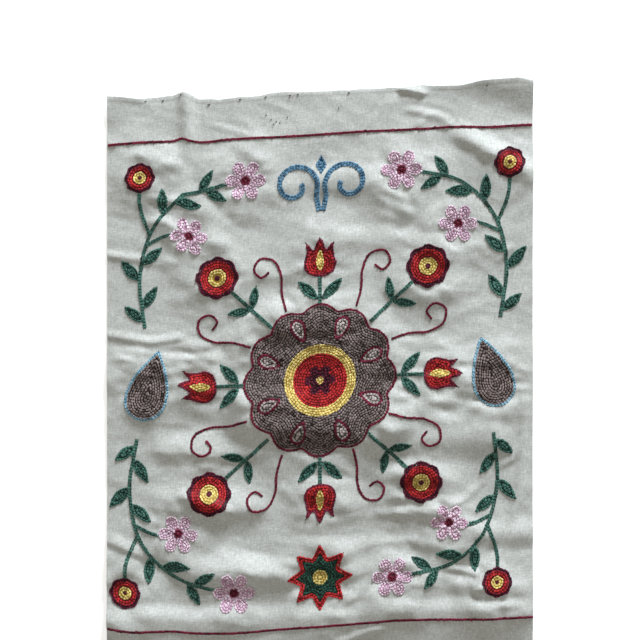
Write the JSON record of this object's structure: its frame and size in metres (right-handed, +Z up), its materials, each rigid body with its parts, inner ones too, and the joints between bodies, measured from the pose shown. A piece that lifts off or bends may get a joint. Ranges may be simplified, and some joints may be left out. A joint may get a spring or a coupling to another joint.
{
  "type": "suzani embroidered textile",
  "caption": "Cut length of undyed cotton with chain-stitch flowers, vines and a scalloped medallion between border lines, lying in shallow folds.",
  "frame": {"origin": "on the surface that the cloth lies on, under the middle of its outline", "axes": "+X across the cloth, +Y along it towards the hemmed end, +Z up from the surface"},
  "size_m": [0.34, 0.4775, 0.009],
  "materials": {
    "cotton_ground": "undyed plain-weave cotton, matt, with husk flecks",
    "thread_maroon": "chain stitch in maroon thread, soft sheen",
    "thread_red": "chain stitch in red thread, soft sheen",
    "thread_yellow": "chain stitch in yellow thread, soft sheen",
    "thread_green": "chain stitch in green thread, soft sheen",
    "thread_dark_green": "chain stitch in dark green thread, soft sheen",
    "thread_pink": "chain stitch in pink thread, soft sheen",
    "thread_blue": "chain stitch in blue thread, soft sheen",
    "thread_light_blue": "chain stitch in light blue thread, soft sheen",
    "thread_grey_brown": "chain stitch in grey-brown marled thread, matt"
  },
  "bodies": {
    "root": {"ground_cloth": "cotton_ground"}
  },
  "joints": []
}
